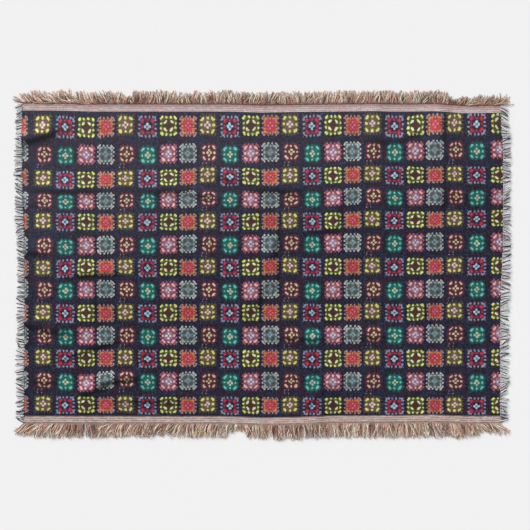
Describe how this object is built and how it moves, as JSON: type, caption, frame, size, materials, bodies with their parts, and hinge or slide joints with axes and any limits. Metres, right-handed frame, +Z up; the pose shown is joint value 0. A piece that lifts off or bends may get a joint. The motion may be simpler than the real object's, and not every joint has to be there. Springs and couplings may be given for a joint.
{
  "type": "granny square blanket",
  "caption": "Woven cotton throw with a granny square pattern, weft headings at both ends and a yarn fringe all round, laid out flat in soft folds.",
  "frame": {"origin": "on the floor under the middle of the blanket", "axes": "+X along the blanket's long way, towards the right in the picture; +Y towards its top edge; +Z up"},
  "size_m": [1.3736, 0.9627, 0.0129],
  "materials": {
    "patterned_cloth": "matte woven cotton, many colours on navy",
    "heading_weft": "matte ribbed cotton weft, pink and beige",
    "end_yarn": "matte loose cotton yarn, mixed warm colours",
    "side_yarn": "matte loose cotton yarn, black, white and grey"
  },
  "bodies": {
    "root": {"woven_panel": "patterned_cloth", "top_heading": "heading_weft", "bottom_heading": "heading_weft", "top_fringe": "end_yarn", "bottom_fringe": "end_yarn", "left_fringe": "side_yarn", "right_fringe": "side_yarn"}
  },
  "joints": []
}
